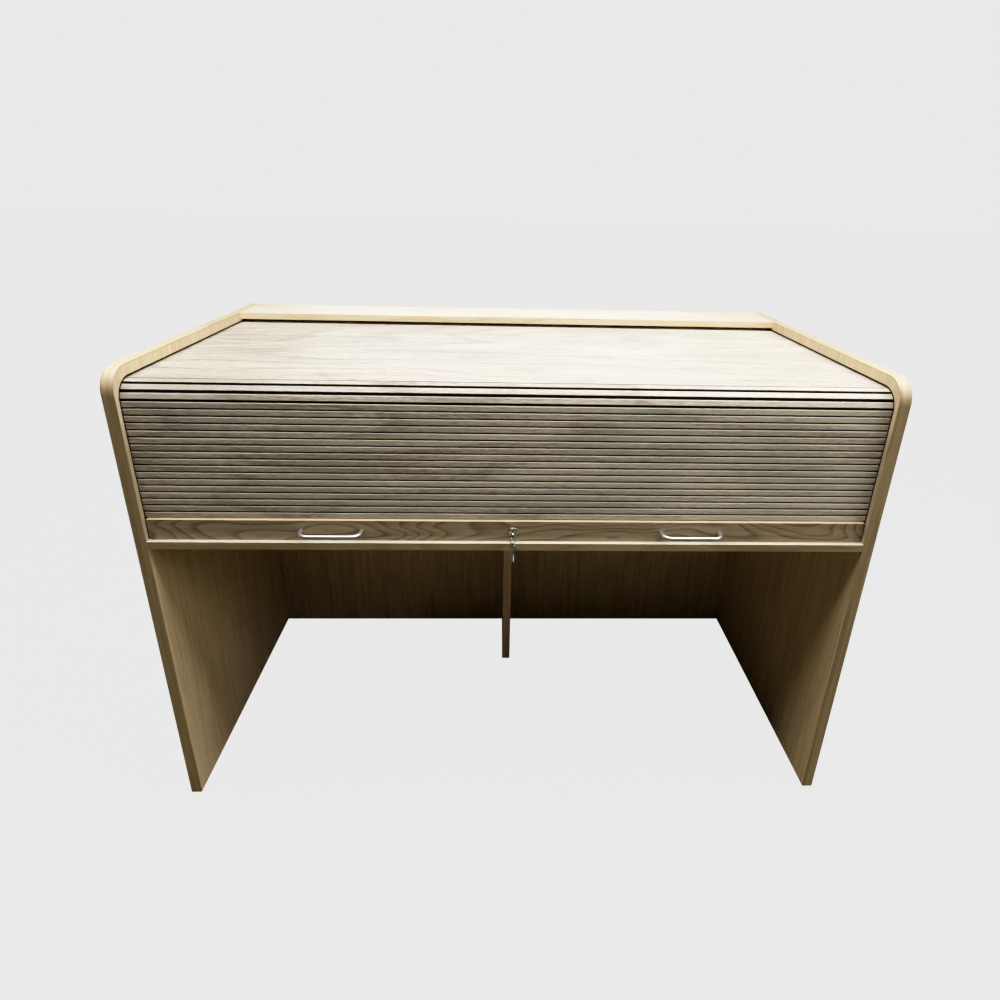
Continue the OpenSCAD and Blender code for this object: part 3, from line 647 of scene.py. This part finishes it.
def build_curtain():
    """Slats and canvas; the front slats and their canvas get meshes of their own."""
    corner_end = slats_before(FRONT_LENGTH + BEND_LENGTH) + 1
    rear_corner = slats_before(REAR_START)
    tail = slats_before(REAR_START + BEND_LENGTH)
    front = slats("front_slat_run", 0, FRONT_SLATS - 1, "carcass", ["front_slats"])
    slats("corner_slat_run", FRONT_SLATS, corner_end - 1, "carcass", ["corner_slats"])
    slats("top_slat_run", corner_end, rear_corner - 1, "carcass", ["top_slats"])
    slats("rear_slat_run", rear_corner, tail - 1, "carcass", ["rear_corner_slats"])
    slats("tail_slat_run", tail, tail + TAIL_SLATS - 1, "tail", ["tail_slats"])
    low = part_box("front_canvas")[0][2] - RAIL_TOP
    high = FRONT_SLATS * SLAT_PITCH - CANVAS_GAP
    backing = canvas_run("front_canvas_run", low, high, "carcass", "front_canvas")
    canvas_run("top_canvas_run", high + 2 * CANVAS_GAP,
                       REAR_START + BEND_LENGTH - CANVAS_GAP, "carcass", "top_canvas")
    tail_length = TOP_LINE - BEND_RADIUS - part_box("tail_canvas")[0][2]
    canvas_run("tail_canvas_run", REAR_START + BEND_LENGTH + CANVAS_GAP,
                       REAR_START + BEND_LENGTH + tail_length, "tail", "tail_canvas")
    for piece in (front, backing):
        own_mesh(piece)


# ---------------------------------------------------------------- stage

def add_camera():
    data = bpy.data.cameras.new("camera")
    data.sensor_width = SENSOR_WIDTH
    data.lens = CAMERA_LENS
    data.shift_x, data.shift_y = CAMERA_SHIFT
    camera = bpy.data.objects.new("camera", data)
    turn = Matrix.Rotation(math.radians(CAMERA_TURN), 4, "Z")
    tilt = Matrix.Rotation(math.radians(CAMERA_TILT), 4, "X")
    roll = Matrix.Rotation(math.radians(CAMERA_ROLL), 4, "Y")
    level = Matrix.Rotation(math.radians(90), 4, "X")
    camera.matrix_world = Matrix.Translation(CAMERA_PLACE) @ turn @ tilt @ roll @ level
    bpy.context.scene.collection.objects.link(camera)
    bpy.context.scene.camera = camera


def add_light(name, place, target, size, power):
    data = bpy.data.lights.new(name, "AREA")
    data.shape = "RECTANGLE"
    data.size, data.size_y = size
    data.energy = power
    light = bpy.data.objects.new(name, data)
    light.location = place
    light.rotation_euler = (Vector(target) - Vector(place)).to_track_quat("-Z", "Y").to_euler()
    light.visible_camera = False
    bpy.context.scene.collection.objects.link(light)


def add_lights():
    """A wide soft light above the desk's front edge, and weak ones in front, behind and at the sides."""
    for light in LIGHTS:
        add_light(*light)


def seen_and_felt(tree, output, seen, felt):
    """Mix two shaders, so that the camera sees one and the light in the scene meets the other."""
    mixer = tree.nodes.new("ShaderNodeMixShader")
    path = tree.nodes.new("ShaderNodeLightPath")
    tree.links.new(path.outputs["Is Camera Ray"], mixer.inputs[0])
    tree.links.new(felt, mixer.inputs[1])
    tree.links.new(seen, mixer.inputs[2])
    tree.links.new(mixer.outputs[0], output.inputs["Surface"])


def add_world():
    """Pale grey to the camera, a dim fill to everything else."""
    world = bpy.data.worlds.new("studio")
    world.use_nodes = True
    tree = world.node_tree
    tree.nodes.clear()
    seen = tree.nodes.new("ShaderNodeBackground")
    seen.inputs["Color"].default_value = (*STAGE_COLOUR, 1.0)
    felt = tree.nodes.new("ShaderNodeBackground")
    felt.inputs["Strength"].default_value = WORLD_FILL
    output = tree.nodes.new("ShaderNodeOutputWorld")
    seen_and_felt(tree, output, seen.outputs[0], felt.outputs[0])
    bpy.context.scene.world = world


def floor_material():
    """Pale studio floor: even to the eye, with a faint shadow under the desk."""
    material = bpy.data.materials.new("floor")
    material.use_nodes = True
    tree = material.node_tree
    tree.nodes.clear()
    glow = tree.nodes.new("ShaderNodeEmission")
    glow.inputs["Color"].default_value = (*STAGE_COLOUR, 1.0)
    glow.inputs["Strength"].default_value = FLOOR_GLOW
    seen_diffuse = tree.nodes.new("ShaderNodeBsdfDiffuse")
    seen_diffuse.inputs["Color"].default_value = (*FLOOR_SHADING, 1.0)
    seen = tree.nodes.new("ShaderNodeAddShader")
    tree.links.new(glow.outputs[0], seen.inputs[0])
    tree.links.new(seen_diffuse.outputs[0], seen.inputs[1])
    felt = tree.nodes.new("ShaderNodeBsdfDiffuse")
    felt.inputs["Color"].default_value = (*FLOOR_BOUNCE, 1.0)
    output = tree.nodes.new("ShaderNodeOutputMaterial")
    seen_and_felt(tree, output, seen.outputs[0], felt.outputs[0])
    return material


def add_floor():
    """One large square under the desk."""
    build = bmesh.new()
    signs = ((-1, -1), (1, -1), (1, 1), (-1, 1))
    build.faces.new([build.verts.new((FLOOR_HALF * x, FLOOR_HALF * y, 0.0)) for x, y in signs])
    mesh = bpy.data.meshes.new("floor")
    build.to_mesh(mesh)
    build.free()
    floor = bpy.data.objects.new("floor", mesh)
    floor.location = (0.0, 0.0, cad_box[0][2] - FLOOR_DROP)
    mesh.materials.append(floor_material())
    bpy.context.scene.collection.objects.link(floor)


def set_film():
    """Plain view transform, with the film curve before it."""
    view = bpy.context.scene.view_settings
    view.view_transform = "Standard"
    view.use_curve_mapping = True
    mapping = view.curve_mapping
    mapping.white_level = (WHITE_LEVEL,) * 3
    master = mapping.curves[3]
    master.points[-1].location = (1.0, FILM_CURVE[-1][1])
    for light, shown in FILM_CURVE[:-1]:
        master.points.new(light / WHITE_LEVEL, shown)
    mapping.update()


add_camera()
add_lights()
add_world()
add_floor()
finish_cad_nodes()
build_curtain()
set_film()
